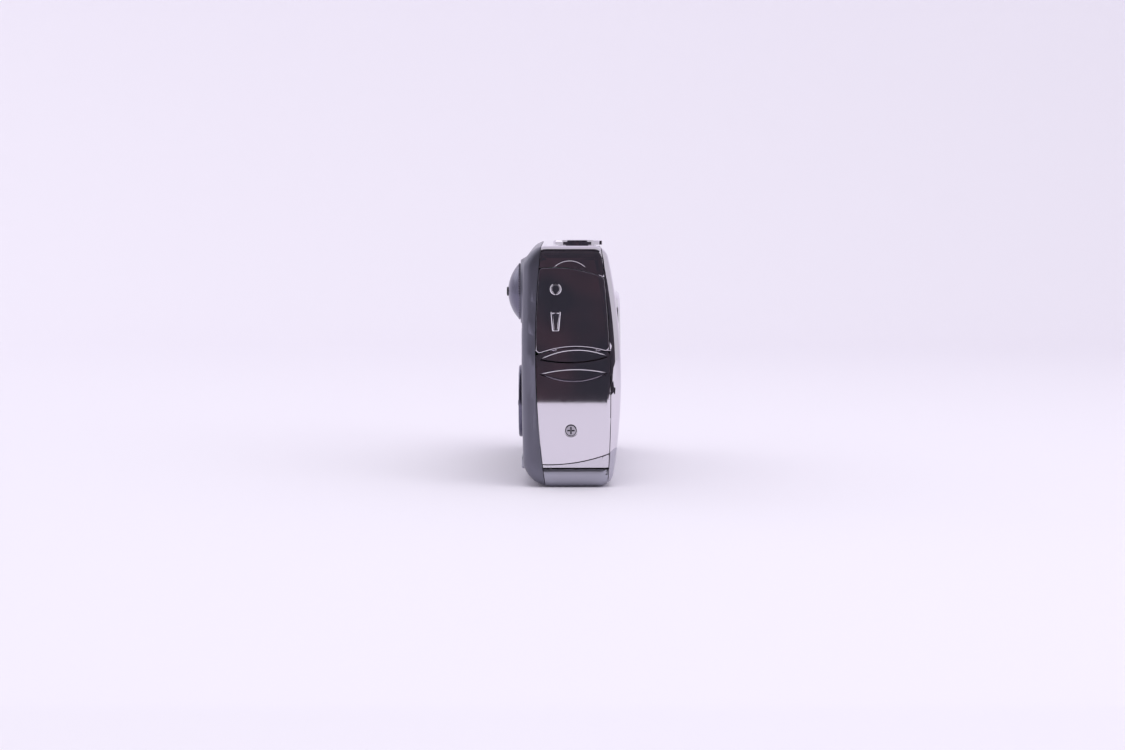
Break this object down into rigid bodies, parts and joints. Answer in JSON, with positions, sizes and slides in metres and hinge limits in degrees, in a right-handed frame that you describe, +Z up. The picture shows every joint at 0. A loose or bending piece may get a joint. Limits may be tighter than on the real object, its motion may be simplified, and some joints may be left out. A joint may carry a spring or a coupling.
{
  "type": "compact digital camera",
  "caption": "Pocket digital camera with a chromed body, a retracting lens, a domed mode dial and hinged doors over the connectors and the battery.",
  "frame": {"origin": "centre of the flat base, midway between the two ends", "axes": "+X towards the far end, away from the connector door, +Y towards the screen at the rear (the lens looks along -Y), +Z up"},
  "size_m": [0.0896, 0.0275, 0.057],
  "materials": {
    "bright_chrome": "polished",
    "titanium_paint": "satin",
    "satin_trim": "satin",
    "dial_metal": "satin",
    "steel": "satin",
    "black_plastic": "matte",
    "dark_gloss": "gloss",
    "clear_pane": "clear",
    "screen_glass": "clear",
    "board_green": "gloss",
    "battery_wrap": "matte",
    "brass_contact": "satin",
    "mirror_sheet": "polished",
    "latch_orange": "gloss",
    "white_moulding": "gloss"
  },
  "bodies": {
    "mode_dial": {"mode_dial": "dial_metal", "dial_cap": "black_plastic"},
    "pad_carrier": {"pad_carrier": "black_plastic"},
    "control_ring": {"control_ring": "satin_trim"},
    "set_button": {"set_button": "satin_trim"},
    "menu_button": {"menu_button": "satin_trim"},
    "display_button": {"display_button": "satin_trim"},
    "print_button": {"print_button": "clear_pane"},
    "zoom_ring": {"zoom_ring": "bright_chrome"},
    "shutter_button": {"shutter_button": "satin_trim"},
    "power_button": {"power_button": "satin_trim"},
    "port_door": {"port_door": "bright_chrome"},
    "door_slide": {"door_slide": "steel", "door_hinge_pin": "steel"},
    "battery_door": {"battery_door": "satin_trim"},
    "battery_latch": {"battery_latch": "latch_orange"},
    "outer_barrel": {"outer_barrel": "satin_trim"},
    "inner_barrel": {"inner_barrel": "satin_trim", "front_lens": "clear_pane"},
    "cam_ring": {"cam_ring": "black_plastic"},
    "zoom_pinion": {"zoom_pinion": "white_moulding"},
    "blade_upper": {"barrier_blade_upper": "dark_gloss"},
    "blade_lower": {"barrier_blade_lower": "dark_gloss"},
    "root": {"av_jack": "dark_gloss", "base_cover": "satin_trim", "battery": "battery_wrap", "battery_holder": "black_plastic", "battery_terminals": "brass_contact", "case_screws": "steel", "chassis": "steel", "end_panel": "bright_chrome", "eyepiece": "dark_gloss", "finder_window": "clear_pane", "flash_board": "board_green", "flash_capacitor": "dark_gloss", "flash_reflector": "mirror_sheet", "flash_tube": "clear_pane", "flash_window": "clear_pane", "focus_lamp": "clear_pane", "front_cover": "bright_chrome", "grip_foot": "satin_trim", "image_sensor": "dark_gloss", "key_board": "board_green", "lens_housing": "black_plastic", "lens_ring": "bright_chrome", "main_board": "board_green", "memory_card": "dark_gloss", "port_bezel": "black_plastic", "rear_cover": "titanium_paint", "screen_panel": "dark_gloss", "screen_window": "screen_glass", "side_panel": "bright_chrome", "speaker": "black_plastic", "top_board": "board_green", "top_cover": "bright_chrome", "tripod_socket": "steel", "usb_socket": "steel", "viewfinder": "black_plastic", "zoom_motor": "steel"}
  },
  "joints": [
    {"name": "dial_turn", "type": "hinge", "parent": "root", "child": "mode_dial", "pos_m": [-0.0336, 0.01172, 0.0451], "axis": [0, 1, 0], "range_deg": [0, 150]},
    {"name": "pad_rock_up_down", "type": "hinge", "parent": "root", "child": "pad_carrier", "pos_m": [-0.0305, 0.00865, 0.019], "axis": [1, 0, 0], "range_deg": [-2.5, 2.5], "stiffness_Nm_per_rad": 0.05},
    {"name": "ring_rock_left_right", "type": "hinge", "parent": "pad_carrier", "child": "control_ring", "pos_m": [-0.0305, 0.00965, 0.019], "axis": [0, 0, 1], "range_deg": [-2.5, 2.5], "stiffness_Nm_per_rad": 0.05},
    {"name": "set_button_press", "type": "slide", "parent": "root", "child": "set_button", "axis": [0, -1, 0], "range_m": [0, 0.0004], "stiffness_N_per_m": 400},
    {"name": "menu_button_press", "type": "slide", "parent": "root", "child": "menu_button", "axis": [0, -1, 0], "range_m": [0, 0.0004], "stiffness_N_per_m": 400},
    {"name": "display_button_press", "type": "slide", "parent": "root", "child": "display_button", "axis": [0, -1, 0], "range_m": [0, 0.0004], "stiffness_N_per_m": 400},
    {"name": "print_button_press", "type": "slide", "parent": "root", "child": "print_button", "axis": [0, -1, 0], "range_m": [0, 0.0004], "stiffness_N_per_m": 400},
    {"name": "zoom_turn", "type": "hinge", "parent": "root", "child": "zoom_ring", "pos_m": [-0.0295, -0.0015, 0.056], "axis": [0, 0, 1], "range_deg": [-22, 22], "stiffness_Nm_per_rad": 0.02},
    {"name": "shutter_press", "type": "slide", "parent": "root", "child": "shutter_button", "axis": [0, 0, -1], "range_m": [0, 0.001], "stiffness_N_per_m": 400},
    {"name": "power_press", "type": "slide", "parent": "root", "child": "power_button", "axis": [0, 0, -1], "range_m": [0, 0.0005], "stiffness_N_per_m": 400},
    {"name": "port_door_swing", "type": "hinge", "parent": "root", "child": "port_door", "pos_m": [-0.04447, 0, 0.0319], "axis": [0, -1, 0], "range_deg": [0, 100]},
    {"name": "battery_door_slide", "type": "slide", "parent": "root", "child": "door_slide", "axis": [-1, 0, 0], "range_m": [0, 0.0025]},
    {"name": "battery_door_swing", "type": "hinge", "parent": "door_slide", "child": "battery_door", "pos_m": [-0.0438, 0, 0.0036], "axis": [0, 1, 0], "range_deg": [0, 95]},
    {"name": "latch_push", "type": "slide", "parent": "root", "child": "battery_latch", "axis": [1, 0, 0], "range_m": [0, 0.0012], "stiffness_N_per_m": 400},
    {"name": "cam_turn", "type": "hinge", "parent": "root", "child": "cam_ring", "pos_m": [0.012, 0, 0.027], "axis": [0, 1, 0], "range_deg": [0, 48]},
    {"name": "lens_extend", "type": "slide", "parent": "root", "child": "outer_barrel", "axis": [0, -1, 0], "range_m": [0, 0.009]},
    {"name": "inner_extend", "type": "slide", "parent": "outer_barrel", "child": "inner_barrel", "axis": [0, -1, 0], "range_m": [0, 0.008]},
    {"name": "pinion_turn", "type": "hinge", "parent": "root", "child": "zoom_pinion", "pos_m": [0.02456, 0, 0.01646], "axis": [0, 1, 0], "range_deg": [-345.6, 0]},
    {"name": "blade_upper_swing", "type": "hinge", "parent": "inner_barrel", "child": "blade_upper", "pos_m": [0.02, 0, 0.0279], "axis": [0, 1, 0], "range_deg": [0, 36]},
    {"name": "blade_lower_swing", "type": "hinge", "parent": "inner_barrel", "child": "blade_lower", "pos_m": [0.004, 0, 0.0261], "axis": [0, 1, 0], "range_deg": [0, 36]}
  ],
  "couplings": [
    {"joint": "lens_extend", "follows": "cam_turn", "m_per_rad": 0.010743},
    {"joint": "inner_extend", "follows": "cam_turn", "m_per_rad": 0.0095492},
    {"joint": "pinion_turn", "follows": "cam_turn", "ratio": -7.2},
    {"joint": "blade_upper_swing", "follows": "cam_turn", "ratio": 0.75},
    {"joint": "blade_lower_swing", "follows": "cam_turn", "ratio": 0.75}
  ]
}
